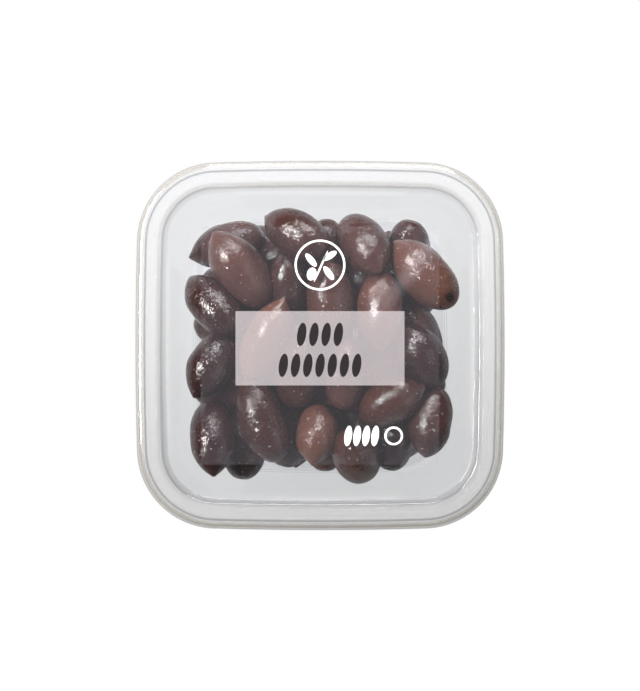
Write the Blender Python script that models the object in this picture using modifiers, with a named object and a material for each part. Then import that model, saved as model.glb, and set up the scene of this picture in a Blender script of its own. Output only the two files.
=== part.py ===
"""Clear square plastic tub with a press-on lid, filled with long dark olives.

The tub stands on its foot ring at z = 0, centred on the Z axis. The sizes below are
in millimetres and are turned into metres where the meshes are made.
"""
import math

import bmesh
import bpy
import numpy as np
from mathutils import Matrix, Vector

MM = 0.001
WALL = 0.7

# Lid: half widths and corner radius seen from above, heights from the table
LID_HALF = 59.5
LID_CORNER = 25.7
SIDE_BOW = 0.5
LID_TOP = 72.0
LID_EDGE_ROUND = 2.5
SKIRT_BOTTOM = 64.0
SKIRT_INSET = 0.4
SNAP_INSET = 0.8
SNAP_HEIGHT = 1.6
RING_INNER_HALF = 50.9
PANEL_HALF = 50.0
PANEL_TOP = 67.5
PANEL_ROUND = 0.4

# Tub: rim and flange, shoulder, tapered wall, foot
FLANGE_HALF = 58.2
FLANGE_TOP = 70.9
FLANGE_LIP = 67.4
FLANGE_ROUND = 0.6
RIM_HALF = 52.3
RIM_FOOT_HALF = 51.9
SHOULDER_TOP = 63.0
SHOULDER_BOTTOM = 61.4
SHOULDER_HALF = 50.5
SHOULDER_CORNER = 17.5
BASE_HALF = 44.3
BASE_CORNER = 15.7
BASE_BEND_TOP = 4.6
BASE_BEND_HALF = 43.2
BASE_BEND_FOOT = 1.9
FOOT_HALF = 41.6
FOOT_WIDTH = 3.4
FLOOR_BEND = 1.2
FLOOR_RISE = 1.2

# Shallow panel pressed into each side of the tub
RECESS_DEPTH = 1.2
RECESS_TOP = 59.4
RECESS_BOTTOM = 13.0
RECESS_FADE = 3.5

# Where points sit along half a side, from its middle (0) to the corner arc (1), and
# how far along it the recess reaches
SIDE_STEPS = (0.0, 0.80, 0.93)
RECESS_REACH = 0.85
CORNER_SEGMENTS = 6
SHARP_ANGLE = 35.0

# Film on the lid's panel
LABEL_SIDE = 77.0
LABEL_THICK = 0.3
LABEL_CORNER = 1.0
GAP = 0.3

# Olives that show through the lid: x, y, heading of the tip, pitch of the tip,
# length, width and height of the middle, in millimetres and degrees
TOP_OLIVES = (
    (-26.4, 25.3, 126, 0, 30.0, 16.3, 57.5),
    (-31.0, 33.0, 195, 0, 26.0, 15.0, 48.0),
    (-35.0, 13.0, 129, 0, 26.5, 15.0, 55.0),
    (-35.4, -6.0, 243, 0, 25.0, 15.4, 55.0),
    (-36.3, -31.8, 264, 0, 27.0, 15.0, 57.5),
    (-18.8, -24.2, 111, 0, 30.0, 15.6, 57.5),
    (-25.4, -32.3, 87, 0, 25.0, 15.8, 47.0),
    (-10.5, -29.0, 85, 0, 24.0, 15.2, 45.5),
    (-1.5, -29.4, 265, 38, 21.5, 14.0, 56.0),
    (-7.8, -8.0, 88, 0, 25.0, 16.0, 52.0),
    (-17.0, 1.5, 67, 0, 30.5, 15.4, 57.5),
    (-10.2, 19.2, 275, 0, 24.0, 13.6, 49.5),
    (3.6, 14.0, 273, 0, 28.0, 15.6, 57.5),
    (-7.5, 37.0, 150, 0, 25.5, 15.4, 56.0),
    (14.0, 32.7, 303, 30, 25.5, 15.6, 55.5),
    (29.9, 30.2, 272, 0, 24.5, 15.0, 45.5),
    (35.4, 23.0, 133, 0, 28.5, 16.2, 57.5),
    (20.0, 11.5, 272, 0, 26.5, 15.2, 58.0),
    (28.6, 10.5, 148, 50, 26.5, 13.6, 42.0),
    (32.6, 4.0, 107, 0, 23.5, 15.2, 40.5),
    (33.4, -3.9, 115, 0, 23.5, 16.0, 57.5),
    (24.1, -18.4, 28, 0, 23.8, 15.1, 58.0),
    (36.4, -24.8, 263, 0, 24.0, 14.4, 55.0),
    (12.6, -37.3, 115, 54, 25.5, 15.8, 55.0),
    (24.0, -30.3, 84, 0, 23.5, 14.7, 46.0),
    (8.5, -9.8, 87, 0, 23.5, 13.2, 54.5),
)

# Olives below them: start height, rows and columns of each layer, and the spread of
# their places (millimetres), pitch (degrees) and sizes
LAYERS = ((9.5, 4, 5), (19.0, 5, 4), (29.5, 4, 4), (39.5, 4, 4))
LAYER_INSET = 8.0
PLACE_SPREAD = 3.0
PITCH_SPREAD = 14.0
OLIVE_LENGTHS = (22.5, 29.0)
OLIVE_WIDTHS = (13.6, 15.8)
PACK_SEED = 11

# Room that the heap may fill inside the tub, between two heights of its taper, and how
# far inside it the lower olives stay, since none looks out past those above
HEAP_LOW_HALF = 41.8
HEAP_HIGH_HALF = 45.8
LOWER_INSET = 3.2
TAPER_HEIGHTS = (4.0, 45.0)
HEAP_CORNER = 25.0
HEAP_FLOOR = 3.1
HEAP_CEILING = 65.8

# How the olives settle: balls along each olive (as shares of half its length), share
# of an overlap that one step mends, how fast the lower ones sink and lie down, and
# how firmly the olives that show are held to their place and direction
BALLS = (-0.62, -0.33, 0.0, 0.33, 0.62)
PACK_STEPS = 700
MEND = 0.45
CROWDING = 0.6
REACH = 3.0
SINK = 0.12
LIE_DOWN = 0.985
HOLD_PLACE = (0.45, 0.45, 0.04)
HOLD_AXIS = (0.45, 0.45, 0.05)

# Olives nearer than this to the side, the floor or the top of the heap are seen
SEEN_DEPTH = 16.0
SEEN_CORNER = 8.0
SEEN_BELOW = 19.0
SEEN_ABOVE = 41.0

# Heap as a solid: few sides on each olive, over a smaller core
TOP_FACETS = (8, 6)
LOWER_FACETS = (7, 4)
TIP_TAPER = 0.16
CORE_INSET = 9.5
CORE_BOTTOM = 12.0
CORE_TOP = 49.0
CORE_ROUND = 0.4
KNOB_RADIUS = 4.5
KNOB_SINK = 1.0
KNOB_FROM = 47.0
KEPT_SHARE = 0.72


def clear_scene():
    for item in list(bpy.data.objects):
        bpy.data.objects.remove(item, do_unlink=True)


def new_collection(name):
    group = bpy.data.collections.new(name)
    bpy.context.scene.collection.children.link(group)
    return group


def plain_material(name, colour, roughness, alpha=1.0, transmission=0.0):
    """Principled surface with one colour; none of the pieces is metal."""
    material = bpy.data.materials.new(name)
    material.use_nodes = True
    shader = material.node_tree.nodes["Principled BSDF"]
    shader.inputs["Base Color"].default_value = (*colour, 1.0)
    shader.inputs["Metallic"].default_value = 0.0
    shader.inputs["Roughness"].default_value = roughness
    shader.inputs["Alpha"].default_value = alpha
    shader.inputs["Transmission Weight"].default_value = transmission
    return material


def add_object(name, mesh, material, group):
    mesh.materials.clear()
    mesh.materials.append(material)
    item = bpy.data.objects.new(name, mesh)
    group.objects.link(item)
    return item


def outline(half, corner, recess=0.0):
    """Closed ring of points: a rounded square whose sides bow out slightly.

    A corner is an arc about (c, c). A side is a long arc that touches both of its
    corner arcs. A recess moves the middle of every side towards the axis.
    """
    centre = half - corner - SIDE_BOW
    rise = half - centre
    side_radius = (centre ** 2 + rise ** 2 - corner ** 2) / (2.0 * (rise - corner))
    lean = math.atan2(centre, side_radius - rise)
    side = []
    for step in SIDE_STEPS:
        angle = lean * step
        inward = recess if step < RECESS_REACH else 0.0
        x = half - side_radius + side_radius * math.cos(angle) - inward
        side.append((x, side_radius * math.sin(angle)))
    arc = []
    for k in range(CORNER_SEGMENTS + 1):
        angle = lean + (math.pi / 2.0 - 2.0 * lean) * k / CORNER_SEGMENTS
        arc.append((centre + corner * math.cos(angle), centre + corner * math.sin(angle)))
    next_side = [(y, x) for x, y in reversed(side[1:])]
    ring = []
    for turn in range(4):
        for x, y in side + arc + next_side:
            for _ in range(turn):
                x, y = -y, x
            ring.append((x, y))
    return ring


def loft(name, sections):
    """Open sheet through the rings of the sections, closed by a flat face at the last."""
    mesh = bpy.data.meshes.new(name)
    form = bmesh.new()
    rings = []
    for half, corner, height, recess in sections:
        points = outline(half, corner, recess)
        rings.append([form.verts.new((x * MM, y * MM, height * MM)) for x, y in points])
    for ring, following in zip(rings, rings[1:]):
        for k in range(len(ring)):
            after = (k + 1) % len(ring)
            form.faces.new((ring[k], ring[after], following[after], following[k]))
    form.faces.new(rings[-1])
    form.to_mesh(mesh)
    form.free()
    mesh.shade_smooth()
    mesh.set_sharp_from_angle(angle=math.radians(SHARP_ANGLE))
    return mesh


def add_wall(item):
    """Thickness on the back of the sheet, away from the side that the faces look to."""
    solidify = item.modifiers.new("wall", "SOLIDIFY")
    solidify.thickness = WALL * MM
    solidify.offset = -1.0
    solidify.use_even_offset = True
    solidify.use_quality_normals = True


def rim_section(half, height):
    """The lid and the rim share their corner centres, so a smaller ring turns tighter."""
    return (half, LID_CORNER - (LID_HALF - half), height, 0.0)


def wall_section(height, recess):
    """Section of the tapered wall between its base and its shoulder."""
    share = (height - BASE_BEND_TOP) / (SHOULDER_BOTTOM - BASE_BEND_TOP)
    half = BASE_HALF + (SHOULDER_HALF - BASE_HALF) * share
    corner = BASE_CORNER + (SHOULDER_CORNER - BASE_CORNER) * share
    return (half, corner, height, recess)


def foot_section(half, height):
    """The foot shares its corner centres with the base of the wall."""
    return (half, BASE_CORNER - (BASE_HALF - half), height, 0.0)


def make_tub(material, group):
    """Inner face of the tub, from the lip of its rim down to the raised floor."""
    foot_inner = FOOT_HALF - FOOT_WIDTH
    sections = (
        rim_section(FLANGE_HALF, FLANGE_LIP),
        rim_section(FLANGE_HALF, FLANGE_TOP - FLANGE_ROUND),
        rim_section(FLANGE_HALF - FLANGE_ROUND, FLANGE_TOP),
        rim_section(RIM_HALF + FLANGE_ROUND, FLANGE_TOP),
        rim_section(RIM_HALF, FLANGE_TOP - FLANGE_ROUND),
        rim_section(RIM_FOOT_HALF, SHOULDER_TOP),
        wall_section(SHOULDER_BOTTOM, 0.0),
        wall_section(RECESS_TOP, RECESS_DEPTH),
        wall_section(RECESS_BOTTOM, RECESS_DEPTH),
        wall_section(RECESS_BOTTOM - RECESS_FADE, 0.0),
        wall_section(BASE_BEND_TOP, 0.0),
        foot_section(BASE_BEND_HALF, BASE_BEND_FOOT),
        foot_section(FOOT_HALF, WALL),
        foot_section(foot_inner, WALL),
        foot_section(foot_inner - FLOOR_BEND, WALL + FLOOR_RISE),
    )
    tub = add_object("tub", loft("tub", sections), material, group)
    add_wall(tub)
    return tub


def make_lid(material, group):
    """Outer face of the lid, from its skirt over the top ring and down to its panel."""
    sections = [
        rim_section(LID_HALF - SKIRT_INSET, SKIRT_BOTTOM),
        rim_section(LID_HALF - SNAP_INSET, SKIRT_BOTTOM + SNAP_HEIGHT),
        rim_section(LID_HALF, SKIRT_BOTTOM + 2.0 * SNAP_HEIGHT),
    ]
    for angle in (0.0, math.pi / 4.0, math.pi / 2.0):
        half = LID_HALF - LID_EDGE_ROUND * (1.0 - math.cos(angle))
        sections.append(rim_section(half, LID_TOP - LID_EDGE_ROUND * (1.0 - math.sin(angle))))
    sections += [
        rim_section(RING_INNER_HALF, LID_TOP),
        rim_section(RING_INNER_HALF - PANEL_ROUND, LID_TOP - PANEL_ROUND),
        rim_section(PANEL_HALF + PANEL_ROUND, PANEL_TOP + PANEL_ROUND),
        rim_section(PANEL_HALF, PANEL_TOP),
    ]
    lid = add_object("lid", loft("lid", sections), material, group)
    add_wall(lid)
    return lid


def upright_edges(form):
    """Edges of a box that run up it, which are rounded before it is scaled."""
    return [edge for edge in form.edges if edge.verts[0].co.z * edge.verts[1].co.z < 0.0]


def make_label(material, group):
    """Thin square film with lightly rounded corners, just above the lid's panel."""
    mesh = bpy.data.meshes.new("label")
    form = bmesh.new()
    bmesh.ops.create_cube(form, size=1.0)
    size = Vector((LABEL_SIDE * MM, LABEL_SIDE * MM, LABEL_THICK * MM))
    bmesh.ops.scale(form, vec=size, verts=form.verts)
    bmesh.ops.bevel(form, geom=upright_edges(form), offset=LABEL_CORNER * MM, segments=2,
                    profile=0.5, affect="EDGES")
    middle = PANEL_TOP + GAP + LABEL_THICK / 2.0
    bmesh.ops.translate(form, vec=(0.0, 0.0, middle * MM), verts=form.verts)
    form.to_mesh(mesh)
    form.free()
    return add_object("label", mesh, material, group)


def start_layout(draw):
    """First places of all olives: those that show, then loose layers below them."""
    rows = list(TOP_OLIVES)
    reach = HEAP_LOW_HALF - LAYER_INSET
    for height, across, along in LAYERS:
        for x in np.linspace(-reach, reach, across):
            for y in np.linspace(-reach, reach, along):
                shift = draw.uniform(-PLACE_SPREAD, PLACE_SPREAD, 3)
                length = draw.uniform(*OLIVE_LENGTHS)
                width = draw.uniform(*OLIVE_WIDTHS)
                heading = draw.uniform(0.0, 360.0)
                pitch = draw.normal(0.0, PITCH_SPREAD)
                place = (x + shift[0], y + shift[1])
                rows.append((*place, heading, pitch, length, width, height + shift[2]))
    return np.array(rows)


def heap_half(height):
    """Half width of the room for the heap, which follows the taper of the tub."""
    return np.interp(height, TAPER_HEIGHTS, (HEAP_LOW_HALF, HEAP_HIGH_HALF))


def wall_push(points, radii, inset):
    """How far each ball has to move to lie inside the room for the heap."""
    half = heap_half(points[:, 2]) - inset
    side = np.abs(points[:, :2]) - (half - HEAP_CORNER)[:, None]
    beyond = np.clip(side, 0.0, None)
    reach = np.sqrt((beyond ** 2).sum(axis=1)) + 1e-9
    outward = np.where((side.min(axis=1) > 0.0)[:, None], beyond / reach[:, None],
                       (side == side.max(axis=1)[:, None]).astype(float))
    distance = np.where(side.max(axis=1) > 0.0, reach, side.max(axis=1))
    depth = np.clip(distance + radii - HEAP_CORNER, 0.0, None)
    push = np.zeros_like(points)
    push[:, :2] = -outward * np.sign(points[:, :2]) * depth[:, None]
    push[:, 2] += np.clip(HEAP_FLOOR + radii - points[:, 2], 0.0, None)
    push[:, 2] -= np.clip(points[:, 2] + radii - HEAP_CEILING, 0.0, None)
    return push


def keep_inside(middle, axis, length, width, inset):
    """Middles moved so that no olive reaches past the floor, the ceiling or a side."""
    reach = np.sqrt((length[:, None] * axis) ** 2 + width[:, None] ** 2 * (1.0 - axis ** 2)) / 2.0
    half = heap_half(middle[:, 2]) - inset
    room = np.stack([half, half, half], axis=1) - reach
    low, high = -room, room
    low[:, 2] = HEAP_FLOOR + reach[:, 2]
    high[:, 2] = HEAP_CEILING - reach[:, 2]
    return np.clip(middle, low, high)


def near_pairs(points, radii, owner):
    """Balls of different olives that are close enough to meet in the next steps."""
    apart = np.sqrt(((points[:, None, :] - points[None, :, :]) ** 2).sum(axis=2))
    close = apart < radii[:, None] + radii[None, :] + REACH
    close &= owner[:, None] < owner[None, :]
    return np.nonzero(close)


def pack_olives():
    """Middle, direction, length and width of every olive, settled against each other.

    Each olive is five balls on a line. Balls that overlap push their olives apart and
    turn them, the room holds them in, and the lower ones sink. The olives that show
    are drawn back to their places. Rounding each step keeps the result repeatable.
    """
    draw = np.random.default_rng(PACK_SEED)
    rows = start_layout(draw)
    shown = len(TOP_OLIVES)
    count = len(rows)
    middle = rows[:, [0, 1, 6]]
    heading, pitch = np.radians(rows[:, 2]), np.radians(rows[:, 3])
    axis = np.stack([np.cos(pitch) * np.cos(heading), np.cos(pitch) * np.sin(heading),
                     np.sin(pitch)], axis=1)
    length, width = rows[:, 4], rows[:, 5]
    home, home_axis = middle[:shown].copy(), axis[:shown].copy()
    offset = length[:, None] / 2.0 * np.array(BALLS)
    spread = (length ** 2 - width ** 2) / 4.0
    radii = (width[:, None] / 2.0 * np.sqrt(1.0 - offset ** 2 / spread[:, None])).ravel()
    owner = np.repeat(np.arange(count), len(BALLS))
    inset = np.where(np.arange(count) < shown, 0.0, LOWER_INSET)
    for step in range(PACK_STEPS):
        points = (middle[:, None, :] + offset[:, :, None] * axis[:, None, :]).reshape(-1, 3)
        if step % 10 == 0:
            first, second = near_pairs(points, radii, owner)
        between = points[first] - points[second]
        apart = np.sqrt((between ** 2).sum(axis=1)) + 1e-9
        overlap = np.clip(radii[first] + radii[second] - apart, 0.0, None)
        half_push = between * (MEND * overlap / apart)[:, None]
        push = wall_push(points, radii, inset[owner])
        touches = (np.abs(push).max(axis=1) > 0.0).astype(float)
        np.add.at(push, first, half_push)
        np.add.at(push, second, -half_push)
        np.add.at(touches, first, overlap > 0.0)
        np.add.at(touches, second, overlap > 0.0)
        push = push.reshape(count, -1, 3)
        crowd = touches.reshape(count, -1).sum(axis=1)
        share = 1.0 / np.maximum(1.0, crowd ** CROWDING)
        across = push - (push * axis[:, None, :]).sum(axis=2, keepdims=True) * axis[:, None, :]
        turn = (offset[:, :, None] * across).sum(axis=1) * 4.0 / (offset ** 2).sum(axis=1)[:, None]
        middle = middle + push.sum(axis=1) * share[:, None]
        middle[shown:, 2] -= SINK * min(1.0, 2.5 - 2.5 * step / PACK_STEPS)
        axis[shown:, 2] *= LIE_DOWN
        axis = axis + turn * share[:, None]
        middle[:shown] += (home - middle[:shown]) * HOLD_PLACE
        axis[:shown] += (home_axis - axis[:shown]) * HOLD_AXIS
        axis /= np.sqrt((axis ** 2).sum(axis=1))[:, None]
        axis = np.round(axis, 6)
        middle = np.round(keep_inside(middle, axis, length, width, inset), 4)
    return middle, axis, length, width


def shows(place):
    """An olive near the wall, the floor or the top is seen; one deep inside is not."""
    half = heap_half(place[2])
    near_wall = max(abs(place[0]), abs(place[1])) > half - SEEN_DEPTH
    past_corner = (max(abs(v) - (half - HEAP_CORNER), 0.0) for v in place[:2])
    in_corner = math.hypot(*past_corner) > SEEN_CORNER
    return near_wall or in_corner or place[2] < SEEN_BELOW or place[2] > SEEN_ABOVE


def olive_form(length, width, sides, bands):
    """Ball drawn out along Z: blunt at the stem end below, narrower at the tip above."""
    form = bmesh.new()
    bmesh.ops.create_uvsphere(form, u_segments=sides, v_segments=bands, radius=1.0)
    fullness = 1.0 / math.sqrt(math.cos(math.pi / sides))
    for vert in form.verts:
        girth = width / 2.0 * fullness * (1.0 - TIP_TAPER * vert.co.z)
        vert.co = Vector((vert.co.x * girth, vert.co.y * girth, vert.co.z * length / 2.0)) * MM
    return form


def place_form(name, form, matrix, group, material):
    mesh = bpy.data.meshes.new(name)
    bmesh.ops.transform(form, matrix=matrix, verts=form.verts)
    form.to_mesh(mesh)
    form.free()
    return add_object(name, mesh, material, group)


def core_form():
    """Block well inside the heap, with rounded uprights, a little narrower at its foot."""
    form = bmesh.new()
    bmesh.ops.create_cube(form, size=2.0)
    bmesh.ops.bevel(form, geom=upright_edges(form), offset=CORE_ROUND, segments=2,
                    profile=0.5, affect="EDGES")
    for vert in form.verts:
        top = vert.co.z > 0.0
        half = (HEAP_HIGH_HALF if top else HEAP_LOW_HALF) - CORE_INSET
        height = CORE_TOP if top else CORE_BOTTOM
        vert.co = Vector((vert.co.x * half, vert.co.y * half, height)) * MM
    return form


def add_olive_pieces(material, group):
    """Each olive that shows, and a knob that ties each high olive to those below it."""
    for place, axis, length, width in zip(*pack_olives()):
        if not shows(place):
            continue
        turn = Vector(axis).to_track_quat("Z", "Y").to_matrix().to_4x4()
        matrix = Matrix.Translation(Vector(place) * MM) @ turn
        facets = TOP_FACETS if place[2] > CORE_TOP else LOWER_FACETS
        place_form("olive_piece", olive_form(length, width, *facets), matrix, group, material)
        underside = place[2] - width / 2.0
        if underside > KNOB_FROM:
            knob = bmesh.new()
            bmesh.ops.create_icosphere(knob, subdivisions=1, radius=KNOB_RADIUS * MM)
            below = Vector((place[0], place[1], underside - KNOB_SINK)) * MM
            place_form("knob", knob, Matrix.Translation(below), group, material)


def make_olives(material, group, cutters):
    """Core and the olives that show, joined to one solid and thinned."""
    add_olive_pieces(material, cutters)
    heap = place_form("olives", core_form(), Matrix.Identity(4), group, material)
    union = heap.modifiers.new("join", "BOOLEAN")
    union.operation = "UNION"
    union.operand_type = "COLLECTION"
    union.collection = cutters
    union.solver = "EXACT"
    seen = heap.evaluated_get(bpy.context.evaluated_depsgraph_get())
    joined = bpy.data.meshes.new_from_object(seen)
    heap.modifiers.clear()
    heap.data = joined
    for piece in list(cutters.objects):
        bpy.data.objects.remove(piece, do_unlink=True)
    bpy.data.collections.remove(cutters)
    keep_largest_shell(joined)
    thin = heap.modifiers.new("thin", "DECIMATE")
    thin.ratio = KEPT_SHARE
    return heap


def keep_largest_shell(mesh):
    """Drops loose scraps and fills hollows that the joining sealed."""
    form = bmesh.new()
    form.from_mesh(mesh)
    bmesh.ops.remove_doubles(form, verts=form.verts, dist=1e-6)
    bmesh.ops.triangulate(form, faces=form.faces)
    left = set(form.faces)
    shells = []
    while left:
        shell = {left.pop()}
        to_visit = list(shell)
        while to_visit:
            for edge in to_visit.pop().edges:
                for face in edge.link_faces:
                    if face in left:
                        left.discard(face)
                        shell.add(face)
                        to_visit.append(face)
        shells.append(shell)
    shells.sort(key=len)
    for shell in shells[:-1]:
        bmesh.ops.delete(form, geom=list(shell), context="FACES")
    form.to_mesh(mesh)
    form.free()


def build():
    clear_scene()
    parts = new_collection("tub_of_olives")
    cutters = new_collection("olive_pieces")
    clear_plastic = plain_material("clear_plastic", (0.90, 0.91, 0.92), 0.12, 0.35, 0.6)
    film = plain_material("label_film", (0.80, 0.78, 0.80), 0.45, 0.5)
    skin = plain_material("olive_skin", (0.085, 0.040, 0.035), 0.28)
    make_tub(clear_plastic, parts)
    make_lid(clear_plastic, parts)
    make_label(film, parts)
    make_olives(skin, parts, cutters)


build()
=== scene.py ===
import math

import bpy
import numpy as np
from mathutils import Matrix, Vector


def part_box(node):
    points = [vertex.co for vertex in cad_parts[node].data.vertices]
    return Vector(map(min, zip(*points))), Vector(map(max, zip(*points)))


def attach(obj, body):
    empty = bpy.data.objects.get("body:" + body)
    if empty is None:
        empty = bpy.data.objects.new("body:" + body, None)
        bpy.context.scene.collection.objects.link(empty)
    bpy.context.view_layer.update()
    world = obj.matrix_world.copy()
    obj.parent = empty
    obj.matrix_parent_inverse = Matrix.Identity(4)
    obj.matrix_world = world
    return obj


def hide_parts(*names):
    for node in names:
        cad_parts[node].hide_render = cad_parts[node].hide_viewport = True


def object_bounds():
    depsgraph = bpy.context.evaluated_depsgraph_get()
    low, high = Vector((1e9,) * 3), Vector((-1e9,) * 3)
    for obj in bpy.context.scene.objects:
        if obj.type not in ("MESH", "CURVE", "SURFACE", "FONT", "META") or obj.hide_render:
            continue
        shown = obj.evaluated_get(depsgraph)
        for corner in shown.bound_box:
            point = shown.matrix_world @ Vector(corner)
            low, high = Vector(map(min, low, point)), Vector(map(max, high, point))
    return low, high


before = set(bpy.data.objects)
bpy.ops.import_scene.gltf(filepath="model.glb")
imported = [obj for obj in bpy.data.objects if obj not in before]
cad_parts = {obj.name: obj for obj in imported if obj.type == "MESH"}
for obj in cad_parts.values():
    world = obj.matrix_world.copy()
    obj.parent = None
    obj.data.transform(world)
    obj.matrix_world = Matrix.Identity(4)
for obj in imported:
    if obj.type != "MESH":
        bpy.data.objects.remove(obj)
cad_low, cad_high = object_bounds()


# Tub
# Injection-moulded clear plastic, 0.7 mm thick: a flange with a turned-down lip, a rim
# that takes the lid's plug, a shoulder, tapered walls with a shallow panel pressed into
# each side, and a foot ring round a raised floor.
MM = 0.001
_, lid_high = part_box("lid")
LID_HALF = lid_high.x / MM
LID_TOP = lid_high.z / MM
LID_CORNER = 25.7

# Sizes are in millimetres. RIM_FOOT, SHOULDER, BASE and BASE_BEND are each a half width
# and a height, RECESS_SPAN is two heights, and RECESS_EDGE is two shares of half a side.
SIDE_BOW = 0.5
WALL = 0.7
FLANGE_HALF = 58.2
FLANGE_TOP = LID_TOP - 1.1
FLANGE_LIP = FLANGE_TOP - 3.5
RIM_HALF = 52.3
RIM_FOOT = (51.9, 63.0)
SHOULDER = (50.5, 61.4)
SHOULDER_CORNER = 17.5
BASE = (44.3, 4.6)
BASE_CORNER = 15.7
BASE_BEND = (43.2, 1.9)
FOOT_HALF = 41.6
FOOT_WIDTH = 3.4
FLOOR_RISE = 1.2
FLOOR_BAND = 4.8
RECESS_DEPTH = 1.2
RECESS_SPAN = (13.0, 59.4)
RECESS_FADE = 3.5
RECESS_EDGE = (0.80, 0.93)
SIDE_POINTS = np.concatenate([np.linspace(0.0, 0.76, 8), np.linspace(0.79, 0.98, 9)])
ARC_POINTS = np.linspace(0.0, 1.0, 25)
TUB_BENDS = (0.8, 0.8, 0.8, 1.0, 1.0, 3.0, 3.0, 3.0, 1.5, 1.2, 0.5, 0.5)


def smooth(value, low, high):
    """0 below low, 1 above high, and 3s^2 - 2s^3 of the share s between them."""
    s = np.clip((value - low) / (high - low), 0.0, 1.0)
    return s * s * (3.0 - 2.0 * s)


def outlines(rows):
    """Rounded squares with slightly bowed sides, one for each row (half, corner, z, recess).

    A corner is an arc about (c, c). A side is a long arc that touches both of its corner
    arcs, and the recess draws its middle towards the axis with a smooth step.
    """
    half, corner, height, recess = rows.T[:, :, None]
    centre = half - corner - SIDE_BOW
    rise = half - centre
    side_radius = (centre ** 2 + rise ** 2 - corner ** 2) / (2.0 * (rise - corner))
    lean = np.arctan2(centre, side_radius - rise)
    angle = lean * SIDE_POINTS
    inward = recess * (1.0 - smooth(SIDE_POINTS, *RECESS_EDGE))
    side = np.stack([half - side_radius + side_radius * np.cos(angle) - inward,
                     side_radius * np.sin(angle)], axis=-1)
    angle = lean + (np.pi / 2.0 - 2.0 * lean) * ARC_POINTS
    arc = np.stack([centre + corner * np.cos(angle), centre + corner * np.sin(angle)], axis=-1)
    quarter = np.concatenate([side, arc, side[:, :0:-1, ::-1]], axis=1)
    x, y = quarter[..., 0], quarter[..., 1]
    ring = np.stack([np.concatenate([x, -y, -x, y], axis=1),
                     np.concatenate([y, x, -y, -x], axis=1)], axis=-1)
    level = np.broadcast_to(height[..., None], ring.shape[:2] + (1,))
    return np.concatenate([ring, level], axis=-1)


def soften(sections, radii, steps=5):
    """Sections with each inner bend replaced by a curve that starts radius away from it.

    The curve is (1-s)^2 of its start, 2s(1-s) of the bend and s^2 of its end. It starts
    and ends at most half way to the next section.
    """
    rows = np.asarray(sections, float)
    before, bend, after = rows[:-2], rows[1:-1], rows[2:]
    radius = np.asarray(radii, float)
    to_before = np.hypot(*(before - bend)[:, [0, 2]].T)
    to_after = np.hypot(*(after - bend)[:, [0, 2]].T)
    start = bend + (before - bend) * np.minimum(radius / to_before, 0.5)[:, None]
    end = bend + (after - bend) * np.minimum(radius / to_after, 0.5)[:, None]
    s = np.linspace(0.0, 1.0, steps)[:, None, None]
    curve = (1.0 - s) ** 2 * start + 2.0 * s * (1.0 - s) * bend + s ** 2 * end
    return np.concatenate([rows[:1], curve.transpose(1, 0, 2).reshape(-1, 4), rows[-1:]])


def grid_faces(rows, columns):
    """Quads between neighbouring points of a grid whose last column joins its first."""
    down, along = np.meshgrid(np.arange(rows - 1), np.arange(columns), indexing="ij")
    after = (along + 1) % columns
    corners = (down * columns + along, down * columns + after,
               (down + 1) * columns + after, (down + 1) * columns + along)
    return np.stack(corners, axis=-1).reshape(-1, 4)


def add_mesh(name, points, faces, smooth_shading=True):
    """New object from an array of points in millimetres and a list of faces."""
    mesh = bpy.data.meshes.new(name)
    mesh.from_pydata((points.reshape(-1, 3) * MM).tolist(), [], faces)
    if smooth_shading:
        mesh.shade_smooth()
    item = bpy.data.objects.new(name, mesh)
    bpy.context.scene.collection.objects.link(item)
    return item


def shell(name, rows, cap_rings=10):
    """Sheet through the outlines of the rows; its last outline shrinks to a middle point.

    Its attribute half_width says how far out a point lies, in metres, the same all round.
    """
    wall = outlines(rows)
    shrink = np.linspace(1.0, 0.0, cap_rings + 1)[1:-1, None, None]
    cap = wall[-1:] * np.concatenate([shrink, shrink, np.ones_like(shrink)], axis=-1)
    grid = np.concatenate([wall, cap])
    ring_count, count = grid.shape[:2]
    middle = ring_count * count
    last = np.arange(middle - count, middle)
    fan = np.stack([last, np.roll(last, -1), np.full(count, middle)], axis=1)
    faces = grid_faces(ring_count, count).tolist() + fan.tolist()
    centre = np.array([[0.0, 0.0, grid[-1, 0, 2]]])
    item = add_mesh(name, np.concatenate([grid.reshape(-1, 3), centre]), faces)
    widths = np.concatenate([rows[:, 0], rows[-1, 0] * shrink[:, 0, 0]]) * MM
    width = item.data.attributes.new("half_width", "FLOAT", "POINT")
    width.data.foreach_set("value", np.append(np.repeat(widths, count), 0.0).astype(np.float32))
    solidify = item.modifiers.new("wall", "SOLIDIFY")
    solidify.thickness = WALL * MM
    solidify.offset = -1.0
    solidify.use_even_offset = True
    return item


def rim_section(half, height):
    """The lid and the rim share their corner centres, so a smaller ring turns tighter."""
    return (half, LID_CORNER - (LID_HALF - half), height, 0.0)


def wall_section(height, recess):
    """Section of the tapered wall between its base and its shoulder."""
    share = (height - BASE[1]) / (SHOULDER[1] - BASE[1])
    half = BASE[0] + (SHOULDER[0] - BASE[0]) * share
    return (half, BASE_CORNER + (SHOULDER_CORNER - BASE_CORNER) * share, height, recess)


def foot_section(half, height):
    """The foot shares its corner centres with the base of the wall."""
    return (half, BASE_CORNER - (BASE[0] - half), height, 0.0)


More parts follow.
